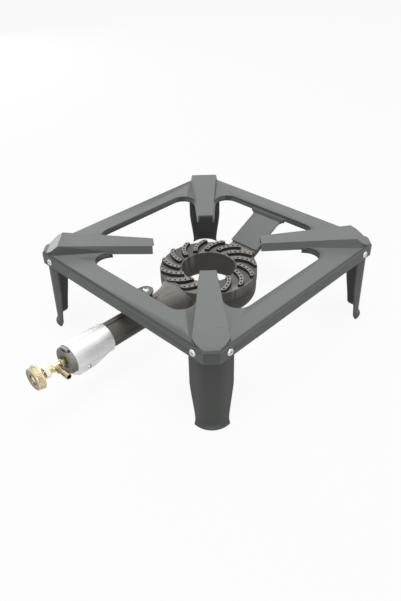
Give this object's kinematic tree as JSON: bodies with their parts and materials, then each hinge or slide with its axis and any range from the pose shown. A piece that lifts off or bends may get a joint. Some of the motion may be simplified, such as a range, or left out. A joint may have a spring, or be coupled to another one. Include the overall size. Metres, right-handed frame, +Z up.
{
  "type": "gas burner stove",
  "caption": "Low square pressed-steel stand with pan supports and curved legs, holding a cast swirl-rib ring burner with mixing tube, sliding air sleeve and brass needle valve.",
  "frame": {"origin": "on the floor, under the middle of the whole outline, 54.5 mm in front of the middle of the square stand", "axes": "+Z up; the mixing tube and the valve point along -Y; the hose barb points along +X"},
  "size_m": [0.3106, 0.418, 0.1218],
  "materials": {
    "stand_enamel": "satin dark grey coat on pressed sheet",
    "cast_iron": "raw grey-brown casting",
    "bare_aluminium": "bare rolled sheet",
    "zinc_plate": "bright zinc plate",
    "turned_brass": "pale turned brass",
    "dark_steel": "black oxide",
    "packing": "matt"
  },
  "bodies": {
    "stand": {"stand_frame": "stand_enamel", "leg_front": "stand_enamel", "leg_left": "stand_enamel", "leg_right": "stand_enamel", "leg_back": "stand_enamel", "leg_rivets": "zinc_plate", "burner_ring": "cast_iron", "mixing_tube": "cast_iron", "tab_screw": "zinc_plate", "tongue_stud": "zinc_plate", "tongue_washer": "zinc_plate", "tongue_nut": "zinc_plate", "valve_body": "turned_brass", "valve_set_screw": "dark_steel", "gas_jet": "turned_brass", "hose_barb": "turned_brass", "gland_packing": "packing", "gland_nut": "turned_brass"},
    "sleeve": {"air_sleeve": "bare_aluminium", "sleeve_screw": "zinc_plate", "sleeve_nut": "zinc_plate"},
    "spindle": {"valve_spindle": "zinc_plate"},
    "knob": {"knob": "turned_brass", "knob_screw": "zinc_plate"}
  },
  "joints": [
    {"name": "sleeve_slide", "type": "slide", "parent": "stand", "child": "sleeve", "axis": [0, 1, 0], "range_m": [0, 0.034]},
    {"name": "spindle_slide", "type": "slide", "parent": "stand", "child": "spindle", "axis": [0, -1, 0], "range_m": [0, 0.0015]},
    {"name": "knob_turn", "type": "hinge", "parent": "spindle", "child": "knob", "pos_m": [0, -0.19939, 0.0613], "axis": [0, -1, 0], "range_deg": [0, 540]}
  ],
  "couplings": [
    {"joint": "spindle_slide", "follows": "knob_turn", "m_per_rad": 0.000159}
  ]
}
